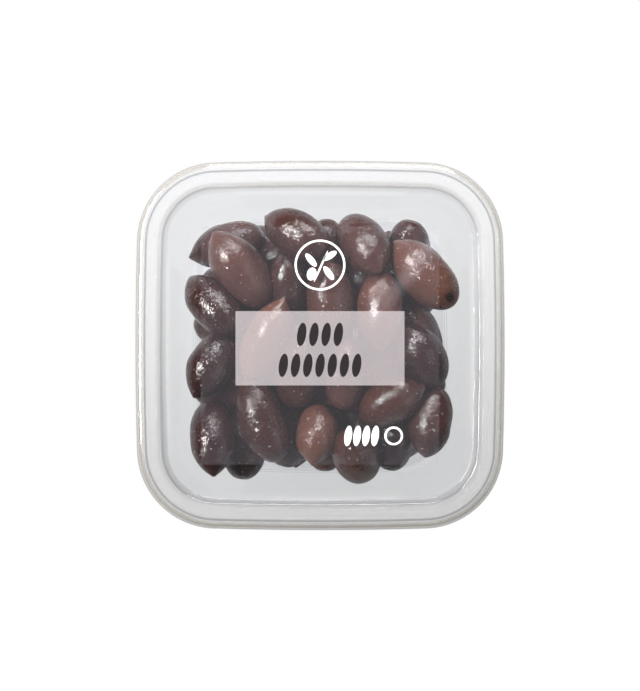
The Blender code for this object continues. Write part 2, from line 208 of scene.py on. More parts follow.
foot_inner = FOOT_HALF - FOOT_WIDTH
tub_sections = (
    rim_section(FLANGE_HALF, FLANGE_LIP),
    rim_section(FLANGE_HALF, FLANGE_TOP),
    rim_section(RIM_HALF, FLANGE_TOP),
    rim_section(*RIM_FOOT),
    wall_section(SHOULDER[1], 0.0),
    wall_section(RECESS_SPAN[1], RECESS_DEPTH),
    wall_section(RECESS_SPAN[0], RECESS_DEPTH),
    wall_section(RECESS_SPAN[0] - RECESS_FADE, 0.0),
    wall_section(BASE[1], 0.0),
    foot_section(*BASE_BEND),
    foot_section(FOOT_HALF, WALL),
    foot_section(foot_inner, WALL),
    foot_section(foot_inner - FLOOR_RISE, WALL + FLOOR_RISE),
    foot_section(foot_inner - FLOOR_BAND, WALL + FLOOR_RISE),
)
tub = shell("tub_walls", soften(tub_sections, TUB_BENDS))


class Value:
    """A number that varies over a surface; arithmetic on it adds Math nodes."""

    def __init__(self, finish, socket):
        self.finish = finish
        self.socket = socket

    def __add__(self, other):
        return self.finish.math("ADD", self, other)

    def __sub__(self, other):
        return self.finish.math("SUBTRACT", self, other)

    def __rsub__(self, other):
        return self.finish.math("SUBTRACT", other, self)

    def __mul__(self, other):
        return self.finish.math("MULTIPLY", self, other)

    def clamped(self):
        return self.finish.value("ShaderNodeClamp", {}, {0: self})

    def between(self, low, high):
        """0 below low, 1 above high, and a smooth step between them."""
        return self.finish.value("ShaderNodeMapRange", {"interpolation_type": "SMOOTHSTEP"},
                                 {0: self, 1: low, 2: high})

    __radd__ = __add__
    __rmul__ = __mul__


class Finish:
    """The nodes of a material, or of the sky, under construction."""

    def __init__(self, owner):
        owner.use_nodes = True
        self.owner = owner
        self.tree = owner.node_tree
        self.tree.nodes.clear()

    def node(self, kind, settings, inputs):
        """Any node: its settings first, then values or links for its sockets."""
        made = self.tree.nodes.new(kind)
        for name, value in settings.items():
            setattr(made, name, value)
        for name, value in inputs.items():
            socket = getattr(value, "socket", value)
            if isinstance(socket, bpy.types.NodeSocket):
                self.tree.links.new(socket, made.inputs[name])
            else:
                made.inputs[name].default_value = socket
        return made

    def value(self, kind, settings, inputs, output=0):
        """A number that a node gives at one of its outputs."""
        return Value(self, self.node(kind, settings, inputs).outputs[output])

    def math(self, operation, first, second=0.0):
        """Arithmetic on two values, or on a value and a number."""
        return self.value("ShaderNodeMath", {"operation": operation}, {0: first, 1: second})

    def place(self):
        """Position on the piece, in metres."""
        return self.node("ShaderNodeTexCoord", {}, {}).outputs["Object"]

    def noise(self, size, detail=2.0, roughness=0.5, at=None):
        """Soft noise whose lumps are about size metres across."""
        return self.value("ShaderNodeTexNoise", {}, {
            "Vector": at or self.place(), "Scale": 1.0 / size,
            "Detail": detail, "Roughness": roughness})

    def blend(self, factor, first, second):
        """Colour between two colours or colour sockets."""
        mixed = self.node("ShaderNodeMix", {"data_type": "RGBA"}, {0: factor, 6: first, 7: second})
        return mixed.outputs[2]

    def bump(self, height, distance, below=None):
        """Normal of a surface raised by height times distance metres, over another bump."""
        inputs = {"Height": height, "Distance": distance}
        if below:
            inputs["Normal"] = below
        return self.node("ShaderNodeBump", {}, inputs).outputs["Normal"]

    def mix(self, factor, first, second):
        """Shader between two shaders."""
        return self.node("ShaderNodeMixShader", {},
                         {0: factor, 1: first.outputs[0], 2: second.outputs[0]})

    def done(self, shader, *items):
        """Puts the finished surface on the pieces."""
        self.node("ShaderNodeOutputMaterial", {}, {"Surface": shader.outputs[0]})
        for item in items:
            item.data.materials.clear()
            item.data.materials.append(self.owner)


def new_finish(name):
    """A new material, still without nodes."""
    return Finish(bpy.data.materials.new(name))


# Lengths on the plastic are in metres. A share says how much of the plastic itself shows
# on one face, from 0 for none of it to 1 for nothing else.
PLASTIC_DARK = (0.04, 0.04, 0.038, 1.0)
PLASTIC_INDEX = 2.2
# Painted shade on the plastic, darker and greyer towards -y and a little towards +x, away from the
# lamps: its lean, reach and milk follow, and its share comes further down.
PAINTED_SHADE_LEAN = 0.2
PAINTED_SHADE_REACH = 0.07
PAINTED_SHADE_MILK = 0.6
SWELL_SIZE = 0.030
SWELL_HEIGHT = 0.0002
STREAK_WIDTH = 0.0009
STREAK_SHRINK = 0.02
STREAK_SHARE = 0.04
# Share of the painted shade.
PAINTED_SHADE_SHARE = 0.11
MILKY_SHARE = 0.12
LEAST_SHARE = 0.008


def clear_plastic(name, through, milk, parts, item):
    """Thin clear plastic. Through is the light that one face lets pass, and milk is the
    colour of its milky parts. Parts gives four values that may vary over the piece: how
    much more of the plastic itself a face shows at a slant than straight on, how milky it
    is, how much more it shows for its thickness and for painted dark lines, and how
    clearly it has fine streaks along its outline and painted shade, which makes it darker
    and greyer towards -y and a little towards +x, away from the lamps.
    """
    made = new_finish(name)
    place = made.node("ShaderNodeSeparateXYZ", {}, {0: made.place()})
    x, y, z = (Value(made, place.outputs[k]) for k in range(3))
    # Painted shade: a mask that grows towards -y and a little towards +x, away from the lamps.
    painted_shade = (x * PAINTED_SHADE_LEAN - y).between(-PAINTED_SHADE_REACH, PAINTED_SHADE_REACH)
    width = made.value("ShaderNodeAttribute", {"attribute_name": "half_width"}, {}, "Fac")
    slant_veil, milky, thick, uneven = parts(width, z)
    waves = made.bump(made.noise(SWELL_SIZE, detail=1.0), SWELL_HEIGHT)
    lane = made.node("ShaderNodeCombineXYZ", {},
                     {0: width, 1: x * STREAK_SHRINK, 2: y * STREAK_SHRINK})
    streaks = made.noise(STREAK_WIDTH, detail=2.0, at=lane.outputs[0])
    shaded_milk = (*(c * PAINTED_SHADE_MILK for c in milk[:3]), 1.0)
    face = made.node("ShaderNodeBsdfPrincipled", {}, {
        "Base Color": made.blend(milky, PLASTIC_DARK, made.blend(painted_shade, milk, shaded_milk)),
        "Roughness": made.noise(0.003) * 0.06 + 0.03,
        "IOR": PLASTIC_INDEX,
        "Normal": waves})
    clear = made.node("ShaderNodeBsdfTransparent", {}, {"Color": through})
    slant = made.value("ShaderNodeLayerWeight", {}, {"Blend": 0.5, "Normal": waves}, "Facing")
    # Streaks, and the painted shade, as strong as the unevenness of the part.
    streaks_and_painted_shade = (streaks * STREAK_SHARE + painted_shade * PAINTED_SHADE_SHARE) * uneven
    shown = slant * slant * slant_veil + streaks_and_painted_shade + milky * MILKY_SHARE + thick + LEAST_SHARE
    made.done(made.mix(shown.clamped(), clear, face), item)


def stripe(value, middle, spread):
    """1 at the middle value, falling smoothly to 0 at spread to both sides."""
    return value.between(middle - spread, middle) * (1.0 - value.between(middle, middle + spread))


TUB_CLEAR = (0.978, 0.985, 0.999, 1.0)
TUB_MILK = (0.56, 0.59, 0.69, 1.0)
TUB_VEIL = 0.09

# Heights, in metres, over which the tub turns milky upwards, and then downwards.
MILKY_ABOVE = (0.061, 0.063)
MILKY_BELOW = (0.003, 0.006)


def tub_parts(width, z):
    """The thick flange and rim and the floor are a little milky, and the walls are not."""
    milky = z.between(*MILKY_ABOVE) + (1.0 - z.between(*MILKY_BELOW))
    # The last value gives streaks and painted shade in full.
    return TUB_VEIL, milky, 0.0, 1.0


clear_plastic("tub_plastic", TUB_CLEAR, TUB_MILK, tub_parts, tub)
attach(tub, "root")
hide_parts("tub")


# Olives
# Long dark olives with a blunt stem end and a pointed tip, wet with brine. Those that
# show through the lid lie as in the photograph, and the rest settle below them, on top
# of each other and against the tub's walls.

# One row for each olive that shows: x and y of its middle, the way its tip points and
# how far it points up, in degrees, its length and width, and the height of its middle.
TOP_OLIVES = (
    (-26.4, 25.3, 126, 0, 30.0, 16.3, 57.5),
    (-31.0, 33.0, 195, 0, 26.0, 15.0, 48.0),
    (-35.0, 13.0, 129, 0, 26.5, 15.0, 55.0),
    (-35.4, -6.0, 243, 0, 25.0, 15.4, 55.0),
    (-36.3, -31.8, 264, 0, 27.0, 15.0, 57.5),
    (-18.8, -24.2, 111, 0, 30.0, 15.6, 57.5),
    (-25.4, -32.3, 87, 0, 25.0, 15.8, 47.0),
    (-10.5, -29.0, 85, 0, 24.0, 15.2, 45.5),
    (-1.5, -29.4, 265, 38, 21.5, 14.0, 56.0),
    (-7.8, -8.0, 88, 0, 25.0, 16.0, 52.0),
    (-17.0, 1.5, 67, 0, 30.5, 15.4, 57.5),
    (-10.2, 19.2, 275, 0, 24.0, 13.6, 49.5),
    (3.6, 14.0, 273, 0, 28.0, 15.6, 57.5),
    (-7.5, 37.0, 150, 0, 25.5, 15.4, 56.0),
    (14.0, 32.7, 303, 30, 25.5, 15.6, 55.5),
    (29.9, 30.2, 272, 0, 24.5, 15.0, 45.5),
    (35.4, 23.0, 133, 0, 28.5, 16.2, 57.5),
    (20.0, 11.5, 272, 0, 26.5, 15.2, 58.0),
    (28.6, 10.5, 148, 50, 26.5, 13.6, 42.0),
    (32.6, 4.0, 107, 0, 23.5, 15.2, 40.5),
    (33.4, -3.9, 115, 0, 23.5, 16.0, 57.5),
    (24.1, -18.4, 28, 0, 23.8, 15.1, 58.0),
    (36.4, -24.8, 263, 0, 24.0, 14.4, 55.0),
    (12.6, -37.3, 115, 54, 25.5, 15.8, 55.0),
    (24.0, -30.3, 84, 0, 23.5, 14.7, 46.0),
    (8.5, -9.8, 87, 0, 23.5, 13.2, 54.5),
)

# A layer is its height and how many olives it starts with across and along.
LAYERS = ((9.5, 4, 5), (19.0, 5, 4), (29.5, 4, 4), (39.5, 4, 4))
LAYER_INSET = 8.0
PLACE_SPREAD = 3.0
PITCH_SPREAD = 14.0
OLIVE_LENGTHS = (22.5, 29.0)
OLIVE_WIDTHS = (13.6, 15.8)
PACK_SEED = 11

# The room for the heap is a rounded square that widens with the tub's walls.
HEAP_LOW_HALF = 41.8
HEAP_HIGH_HALF = 45.8
LOWER_INSET = 3.2
TAPER_HEIGHTS = (4.0, 45.0)
HEAP_CORNER = 25.0
HEAP_FLOOR = 3.1
HEAP_CEILING = 65.8

# How the olives settle. Five balls stand for each, at these shares of half its length. In
# a step, two balls that overlap both move by MEND of it, an olive that n balls touch
# moves 1/n^CROWDING as far, the lower ones sink by SINK and lie flatter, and those that
# show go back by the HOLD shares. Pairs are looked up anew every NEIGHBOUR_STEPS.
BALLS = (-0.62, -0.33, 0.0, 0.33, 0.62)
PACK_STEPS = 700
NEIGHBOUR_STEPS = 10
NEIGHBOUR_GAP = 3.0
MEND = 0.45
TURN_GAIN = 4.0
CROWDING = 0.6
SINK = 0.12
SINK_FADE = 2.5
LIE_DOWN = 0.985
HOLD_PLACE = (0.45, 0.45, 0.04)
HOLD_AXIS = (0.45, 0.45, 0.05)


def start_layout(draw):
    """First places of all olives: those that show, then loose layers below them."""
    rows = list(TOP_OLIVES)
    reach = HEAP_LOW_HALF - LAYER_INSET
    for height, across, along in LAYERS:
        for x in np.linspace(-reach, reach, across):
            for y in np.linspace(-reach, reach, along):
                shift = draw.uniform(-PLACE_SPREAD, PLACE_SPREAD, 3)
                length = draw.uniform(*OLIVE_LENGTHS)
                width = draw.uniform(*OLIVE_WIDTHS)
                heading = draw.uniform(0.0, 360.0)
                pitch = draw.normal(0.0, PITCH_SPREAD)
                place = (x + shift[0], y + shift[1])
                rows.append((*place, heading, pitch, length, width, height + shift[2]))
    return np.array(rows)


def heap_half(height):
    """Half width of the room for the heap, which follows the taper of the tub."""
    return np.interp(height, TAPER_HEIGHTS, (HEAP_LOW_HALF, HEAP_HIGH_HALF))


def wall_push(points, radii, inset):
    """How far each ball has to move to lie inside the room for the heap."""
    half = heap_half(points[:, 2]) - inset
    side = np.abs(points[:, :2]) - (half - HEAP_CORNER)[:, None]
    beyond = np.clip(side, 0.0, None)
    reach = np.sqrt((beyond ** 2).sum(axis=1)) + 1e-9
    outward = np.where((side.min(axis=1) > 0.0)[:, None], beyond / reach[:, None],
                       (side == side.max(axis=1)[:, None]).astype(float))
    distance = np.where(side.max(axis=1) > 0.0, reach, side.max(axis=1))
    depth = np.clip(distance + radii - HEAP_CORNER, 0.0, None)
    push = np.zeros_like(points)
    push[:, :2] = -outward * np.sign(points[:, :2]) * depth[:, None]
    push[:, 2] += np.clip(HEAP_FLOOR + radii - points[:, 2], 0.0, None)
    push[:, 2] -= np.clip(points[:, 2] + radii - HEAP_CEILING, 0.0, None)
    return push


def keep_inside(middle, axis, length, width, inset):
    """Middles moved so that no olive reaches past the floor, the ceiling or a side."""
    reach = np.sqrt((length[:, None] * axis) ** 2 + width[:, None] ** 2 * (1.0 - axis ** 2)) / 2.0
    half = heap_half(middle[:, 2]) - inset
    room = np.stack([half, half, half], axis=1) - reach
    low, high = -room, room
    low[:, 2] = HEAP_FLOOR + reach[:, 2]
    high[:, 2] = HEAP_CEILING - reach[:, 2]
    return np.clip(middle, low, high)


def near_pairs(points, radii, owner):
    """Balls of different olives that are close enough to meet in the next steps."""
    apart = np.sqrt(((points[:, None, :] - points[None, :, :]) ** 2).sum(axis=2))
    close = apart < radii[:, None] + radii[None, :] + NEIGHBOUR_GAP
    close &= owner[:, None] < owner[None, :]
    return np.nonzero(close)


def pack_olives():
    """Middle, direction, length and width of every olive, settled against each other.

    Each olive is five balls on a line. Balls that overlap push their olives apart and
    turn them, the room holds them in, and the lower ones sink. The olives that show
    are drawn back to their places. Rounding each step keeps the result repeatable.
    """
    draw = np.random.default_rng(PACK_SEED)
    rows = start_layout(draw)
    shown = len(TOP_OLIVES)
    count = len(rows)
    middle = rows[:, [0, 1, 6]]
    heading, pitch = np.radians(rows[:, 2]), np.radians(rows[:, 3])
    axis = np.stack([np.cos(pitch) * np.cos(heading), np.cos(pitch) * np.sin(heading),
                     np.sin(pitch)], axis=1)
    length, width = rows[:, 4], rows[:, 5]
    home, home_axis = middle[:shown].copy(), axis[:shown].copy()
    offset = length[:, None] / 2.0 * np.array(BALLS)
    spread = (length ** 2 - width ** 2) / 4.0
    radii = (width[:, None] / 2.0 * np.sqrt(1.0 - offset ** 2 / spread[:, None])).ravel()
    owner = np.repeat(np.arange(count), len(BALLS))
    inset = np.where(np.arange(count) < shown, 0.0, LOWER_INSET)
    for step in range(PACK_STEPS):
        points = (middle[:, None, :] + offset[:, :, None] * axis[:, None, :]).reshape(-1, 3)
        if step % NEIGHBOUR_STEPS == 0:
            first, second = near_pairs(points, radii, owner)
        between = points[first] - points[second]
        apart = np.sqrt((between ** 2).sum(axis=1)) + 1e-9
        overlap = np.clip(radii[first] + radii[second] - apart, 0.0, None)
        half_push = between * (MEND * overlap / apart)[:, None]
        push = wall_push(points, radii, inset[owner])
        touches = (np.abs(push).max(axis=1) > 0.0).astype(float)
        np.add.at(push, first, half_push)
        np.add.at(push, second, -half_push)
        np.add.at(touches, first, overlap > 0.0)
        np.add.at(touches, second, overlap > 0.0)
        push = push.reshape(count, -1, 3)
        crowd = touches.reshape(count, -1).sum(axis=1)
        share = 1.0 / np.maximum(1.0, crowd ** CROWDING)
        across = push - (push * axis[:, None, :]).sum(axis=2, keepdims=True) * axis[:, None, :]
        twist = (offset[:, :, None] * across).sum(axis=1)
        turn = twist * TURN_GAIN / (offset ** 2).sum(axis=1)[:, None]
        middle = middle + push.sum(axis=1) * share[:, None]
        middle[shown:, 2] -= SINK * min(1.0, SINK_FADE - SINK_FADE * step / PACK_STEPS)
        axis[shown:, 2] *= LIE_DOWN
        axis = axis + turn * share[:, None]
        middle[:shown] += (home - middle[:shown]) * HOLD_PLACE
        axis[:shown] += (home_axis - axis[:shown]) * HOLD_AXIS
        axis /= np.sqrt((axis ** 2).sum(axis=1))[:, None]
        axis = np.round(axis, 6)
        middle = np.round(keep_inside(middle, axis, length, width, inset), 4)
    return middle, axis, length, width


# Shape of an olive. SHARPNESS is for the olives that show, from 0 for a blunt tip to 1
# for the sharpest. A wave is its height as a share of the girth, how many times it goes
# round, and how far it turns from the middle to the tip, in radians.
RINGS = 30
SIDES = 24
FULLNESS = 2.25
TIP_SHARPEST = 0.38
TIP_SPAN = (-0.2, 0.7)
SHARPNESS = (0.6, 0.7, 0.5, 0.6, 0.9, 0.4, 0.2, 0.2, 1.0, 0.2, 0.85, 0.3, 0.1,
             0.6, 0.3, 0.2, 0.35, 0.2, 0.3, 0.3, 0.2, 0.75, 0.35, 0.2, 0.2, 0.2)
OTHER_SHARPNESS = (0.2, 0.8)
WAVES = ((0.028, 2.0, 0.0), (0.018, 3.0, 3.0), (0.020, 1.0, -4.0), (0.008, 5.0, 6.0),
         (0.012, 2.0, -9.0))
WAVE_SPREAD = (0.4, 1.0)
BEND = 0.6
PIT_DEPTH = 1.2
PIT_RADIUS = 1.25
PIT_ASIDE = 1.2
OPEN_STEM = 16
OPEN_STEM_PLACE = (0.6, 4.2)
OPEN_STEM_RADIUS = 1.8
TIP_NUB = 0.7
NUB_SPREAD = (0.2, 1.0)


def olive_points(middle, axis, length, width, draw):
    """Surface of every olive at once, as an array of olives by rings by sides.

    A ring lies at t from -1 at the stem end to 1 at the tip. Its radius is half the width
    times (1 - |t|^FULLNESS)^p. The power p is one half at the blunt stem end, and over
    TIP_SPAN it grows by SHARPNESS times TIP_SHARPEST, so that the tip is pointed. Slow
    sine waves dent the skin, and the length bends a little. The stem end has a small pit,
    not quite in its middle, and the tip a short nub, each a bell curve of the distance
    from its middle. The olive of row OPEN_STEM turns its pit upwards, so that it shows.
    """
    each = (len(middle), 1, 1)
    t = -np.cos(np.pi * (np.arange(RINGS) + 0.5) / RINGS)[None, :, None]
    turn = (2.0 * np.pi * np.arange(SIDES) / SIDES)[None, None, :]
    hidden = len(middle) - len(SHARPNESS)
    sharpness = np.concatenate([SHARPNESS, draw.uniform(*OTHER_SHARPNESS, hidden)])
    power = 0.5 + TIP_SHARPEST * sharpness.reshape(each) * smooth(t, *TIP_SPAN)
    girth = width.reshape(each) / 2.0 * (1.0 - np.abs(t) ** FULLNESS) ** power
    phase = draw.uniform(0.0, 2.0 * np.pi, (len(WAVES), *each))
    depth = draw.uniform(*WAVE_SPREAD, (len(WAVES), *each))
    wave = sum(share * depth[k] * np.sin(around * turn + forward * t + phase[k])
               for k, (share, around, forward) in enumerate(WAVES))
    girth = girth * (1.0 + wave * np.sqrt(1.0 - t ** 2))
    aside = draw.uniform(-PIT_ASIDE, PIT_ASIDE, (2, *each))
    aside[:, OPEN_STEM, 0, 0] = OPEN_STEM_PLACE
    from_pit = np.hypot(girth * np.cos(turn) - aside[0], girth * np.sin(turn) - aside[1])
    pit_radius = np.full(each, PIT_RADIUS)
    pit_radius[OPEN_STEM] = OPEN_STEM_RADIUS
    stem = np.exp(-(from_pit / pit_radius) ** 2) * (t < 0.0)
    nub_size = draw.uniform(*NUB_SPREAD, each)
    nub = np.exp(-(girth / PIT_RADIUS) ** 2) * (t > 0.0) * nub_size * TIP_NUB
    along = length.reshape(each) / 2.0 * t + PIT_DEPTH * stem + nub
    bend = draw.uniform(-BEND, BEND, each) * (1.0 - t ** 2)
    right = np.cross(axis, (0.0, 0.0, 1.0)) + 1e-6
    right /= np.sqrt((right ** 2).sum(axis=1, keepdims=True))
    up = np.cross(right, axis)
    spot = (middle[:, None, None, :]
            + along[..., None] * axis[:, None, None, :]
            + (girth * np.cos(turn) + bend)[..., None] * right[:, None, None, :]
            + (girth * np.sin(turn))[..., None] * up[:, None, None, :])
    poles = spot[:, [0, -1]].mean(axis=2)
    return spot, poles, stem


def olive_faces(count):
    """Quads between the rings and a fan at both ends, for every olive."""
    size = RINGS * SIDES + 2
    ring = np.arange(SIDES)
    after = np.roll(ring, -1)
    last = (RINGS - 1) * SIDES
    stem_fan = np.stack([after, ring, np.full(SIDES, size - 2)], axis=1)
    tip_fan = np.stack([ring + last, after + last, np.full(SIDES, size - 1)], axis=1)
    shift = (np.arange(count) * size)[:, None, None]
    quads = (grid_faces(RINGS, SIDES) + shift).reshape(-1, 4)
    fans = (np.concatenate([stem_fan, tip_fan]) + shift).reshape(-1, 3)
    return quads.tolist() + fans.tolist()


LOOK_SEED = 5
draw = np.random.default_rng(LOOK_SEED)
settled = pack_olives()
spots, poles, stem_mark = olive_points(*settled, draw)
count = len(spots)
olives = add_mesh("olives_heap", np.concatenate([spots.reshape(count, -1, 3), poles], axis=1),
                  olive_faces(count))

# The attribute's red says how brown the skin of an olive is, its green how pale it is,
# and its blue where the stem was. BROWN and PALE are for the olives that show, and the
# others draw theirs up to BROWNEST and PALEST.
BROWN = (0.55, 0.4, 0.55, 0.2, 0.25, 0.75, 0.15, 0.25, 1.0, 0.8, 0.95, 0.3, 0.5,
         0.45, 0.4, 0.3, 0.9, 0.6, 0.15, 0.2, 0.05, 0.9, 0.4, 1.0, 0.05, 0.5)
PALE = (0.78, 0.66, 0.0, 0.0, 0.0, 0.05, 0.0, 0.0, 0.62, 0.1, 0.68, 0.25, 0.62,
        0.32, 0.55, 0.5, 0.72, 0.7, 0.5, 0.85, 0.2, 0.15, 0.28, 0.1, 0.0, 0.65)
BROWNEST = 0.9
PALEST = 0.6
others = count - len(BROWN)
tones = np.stack([np.concatenate([BROWN, draw.uniform(0.0, BROWNEST, others)]),
                  np.concatenate([PALE, draw.uniform(0.0, PALEST, others)])], axis=1)
tint = np.ones((count, RINGS * SIDES + 2, 4), np.float32)
tint[:, :, :2] = tones[:, None, :]
tint[:, :-2, 2] = stem_mark.reshape(count, -1)
tint[:, -1, 2] = 0.0
skin_tint = olives.data.color_attributes.new("skin_tint", "FLOAT_COLOR", "POINT")
skin_tint.data.foreach_set("color", tint.ravel())

# Two colours of skin, each from its darkest to its palest, then the colours of its fine
# mottling, of painted glints as from drops of brine, and of the painted shade in the hollow
# where the stem was.
PLUM = ((0.012, 0.0045, 0.006, 1.0), (0.056, 0.025, 0.028, 1.0))
UMBER = ((0.030, 0.0075, 0.005, 1.0), (0.110, 0.047, 0.033, 1.0))
MOTTLING = (0.11, 0.072, 0.058, 1.0)
GLINT_WHITE = (0.45, 0.43, 0.41, 1.0)
STEM_HOLLOW_SHADE = (0.006, 0.004, 0.004, 1.0)

# Widths of the lumps in the skin and heights of its relief, in metres.
PATCH_SIZE = 0.010
MOTTLE_SIZE = 0.0013
GLINT_SIZE = 0.0009
PIT_SIZE = 0.0009
PIT_RELIEF = 0.00024
WRINKLE_SIZE = 0.0032
WRINKLE_RELIEF = 0.0004

# How far patches shift the brown and the pale of an olive, how much the mottling shows,
# and from which heights of their noise the painted glints appear and how much they cover.
PATCH_BROWN = 0.7
PATCH_PALE = 0.3
MOTTLE_SHARE = 0.35
GLINT_HEIGHTS = (0.77, 0.85)
GLINT_COVER = 0.4


def olive_skin(item):
    """Dark plum to red-brown skin, wet and finely pitted, so that light breaks into sparks,
    with a few painted white glints, as from drops of brine, and painted shade in the stem hollow.
    """
    made = new_finish("olive_skin")
    mark = made.node("ShaderNodeVertexColor", {"layer_name": "skin_tint"}, {})
    split = made.node("ShaderNodeSeparateColor", {}, {"Color": mark.outputs["Color"]})
    brown, pale, stem = (Value(made, split.outputs[k]) for k in range(3))
    patches = made.noise(PATCH_SIZE, detail=3.0, roughness=0.6)
    mottle = made.noise(MOTTLE_SIZE, detail=3.0, roughness=0.6)
    redness = (brown + patches * PATCH_BROWN - PATCH_BROWN / 2.0).clamped()
    light = (pale + patches * PATCH_PALE - PATCH_PALE / 2.0).clamped()
    skin = made.blend(redness, made.blend(light, *PLUM), made.blend(light, *UMBER))
    skin = made.blend((mottle - 0.45) * MOTTLE_SHARE, skin, MOTTLING)
    # Painted glints: white dots in the skin's colour, as from drops of brine.
    painted_glints = made.noise(GLINT_SIZE, detail=0.0).between(*GLINT_HEIGHTS)
    skin = made.blend(painted_glints * GLINT_COVER, skin, GLINT_WHITE)
    # Painted shade in the hollow where the stem was.
    skin = made.blend(stem.between(0.3, 0.8), skin, STEM_HOLLOW_SHADE)
    wrinkles = made.bump(made.noise(WRINKLE_SIZE, detail=2.0), WRINKLE_RELIEF)
    pits = made.bump(made.noise(PIT_SIZE, detail=2.0), PIT_RELIEF, wrinkles)
    wet_skin = made.node("ShaderNodeBsdfPrincipled", {}, {
        "Base Color": skin, "Roughness": mottle * 0.12 + 0.03, "IOR": 1.5, "Normal": pits})
    made.done(wet_skin, item)


olive_skin(olives)
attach(olives, "root")
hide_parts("olives")


# Middle of the heap
# Olives lie there too, where no one sees them. One dark block with soft edges stands for
# them, well inside those that show.
CORE_INSET = 13.0
CORE_BOTTOM = 14.0
CORE_TOP = 45.0
CORE_EDGE = 4.0
CORE_CORNERS = (12.0, 14.0)
CORE_BENDS = (2.0, 2.0)
CORE_SHARP = 40.0
SHADE = ((0.010, 0.006, 0.008, 1.0), (0.035, 0.018, 0.018, 1.0))
core_low = (HEAP_LOW_HALF - CORE_INSET, CORE_CORNERS[0])
core_high = (HEAP_HIGH_HALF - CORE_INSET, CORE_CORNERS[1])
core_sections = (
    (core_low[0] - CORE_EDGE, core_low[1] - CORE_EDGE, CORE_BOTTOM, 0.0),
    (*core_low, CORE_BOTTOM + CORE_EDGE, 0.0),
    (*core_high, CORE_TOP - CORE_EDGE, 0.0),
    (core_high[0] - CORE_EDGE, core_high[1] - CORE_EDGE, CORE_TOP, 0.0),
)
core_rings = outlines(soften(core_sections, CORE_BENDS))
core_count = core_rings.shape[1]
core_last = (len(core_rings) - 1) * core_count
core_caps = [list(range(core_count))[::-1], list(range(core_last, core_last + core_count))]
core_sides = grid_faces(len(core_rings), core_count).tolist()
core = add_mesh("heap_middle", core_rings, core_sides + core_caps)
core.data.set_sharp_from_angle(angle=math.radians(CORE_SHARP))
shade = new_finish("heap_shade")
blotches = shade.noise(0.006, detail=3.0)
shade.done(shade.node("ShaderNodeBsdfPrincipled", {}, {
    "Base Color": shade.blend(blotches, *SHADE),
    "Roughness": 0.6,
    "Normal": shade.bump(blotches, 0.002)}), core)
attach(core, "root")


# Lid
# Clear plastic of the same thickness, pressed on: a skirt that grips under the tub's
# flange, a rounded edge, a flat ring, and a panel that sinks into the rim.
RING_INNER = 50.9
PANEL = (50.0, LID_TOP - 4.5)
PANEL_EDGE = 6.0
SKIRT_DROP = 8.0
SKIRT_INSET = 0.4
SNAP_INSET = 0.8
SNAP_HEIGHT = 1.6
LID_BENDS = (0.8, 0.8, 2.6, 0.7, 0.7)
lid_sections = (
    rim_section(LID_HALF - SKIRT_INSET, LID_TOP - SKIRT_DROP),
    rim_section(LID_HALF - SNAP_INSET, LID_TOP - SKIRT_DROP + SNAP_HEIGHT),
    rim_section(LID_HALF, LID_TOP - SKIRT_DROP + 2.0 * SNAP_HEIGHT),
    rim_section(LID_HALF, LID_TOP),
    rim_section(RING_INNER, LID_TOP),
    rim_section(*PANEL),
    rim_section(PANEL[0] - PANEL_EDGE, PANEL[1]),
)
lid = shell("lid_shell", soften(lid_sections, LID_BENDS, steps=7))

LID_CLEAR = (0.993, 0.990, 0.982, 1.0)
LID_MILK = (0.74, 0.70, 0.62, 1.0)
LID_VEIL = 0.05

# Where the lid's plastic changes, as half widths in metres. A painted dark line, which is
# painted shade at a bend of the plastic or along its outermost edge, is its middle and its
# spread, and any other part is where it starts and where it is there in full.
RING_LINE = (0.0564, 0.0006)
PANEL_LINE = (0.0511, 0.0005)
OUTER_LINE = (0.0593, 0.0007)
EDGE_FROM = (0.0568, 0.0576)
RING_FROM = (0.0508, 0.0514)
PLUG_FROM = (0.0494, 0.0500)


def lid_parts(width, z):
    """The flat ring is a little milky, its rounded edge is thicker and the wall of the sunk
    panel more uneven, with stronger streaks and painted shade. Painted dark lines, which are
    painted shade at the bends of the plastic, run along both borders of the ring and along
    the outermost edge.
    """
    # Painted shade: dark lines at the bends of the plastic and along its outermost edge.
    lines = stripe(width, *RING_LINE) + stripe(width, *PANEL_LINE) + stripe(width, *OUTER_LINE)
    edge = width.between(*EDGE_FROM)
    ring = width.between(*RING_FROM)
    plug = width.between(*PLUG_FROM) * (1.0 - ring)
    milky = (ring * 0.6 + edge * 0.2) * (1.0 - lines)
    thick = edge * 0.06 + lines * 0.26
    # This also sets how strong the painted shade is, as well as the streaks.
    uneven = ring * 0.8 + plug * 1.4 + 0.1
    return LID_VEIL, milky, thick, uneven


clear_plastic("lid_plastic", LID_CLEAR, LID_MILK, lid_parts, lid)
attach(lid, "root")
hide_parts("lid")


# Label
# A square of hazy film, stuck to the lid's panel. It lifts the dark olives a little and
# carries the print: a pale see-through band with two rows of dark ovals, and white marks.
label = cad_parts["label"]
_, label_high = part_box("label")
PRINT_GAP = 0.03
PRINT_FOOT = label_high.z / MM + PRINT_GAP
PRINT_THICK = 0.04
OUTLINE_POINTS = 64
WHITE = (1.0, 1.0, 1.0, 1.0)

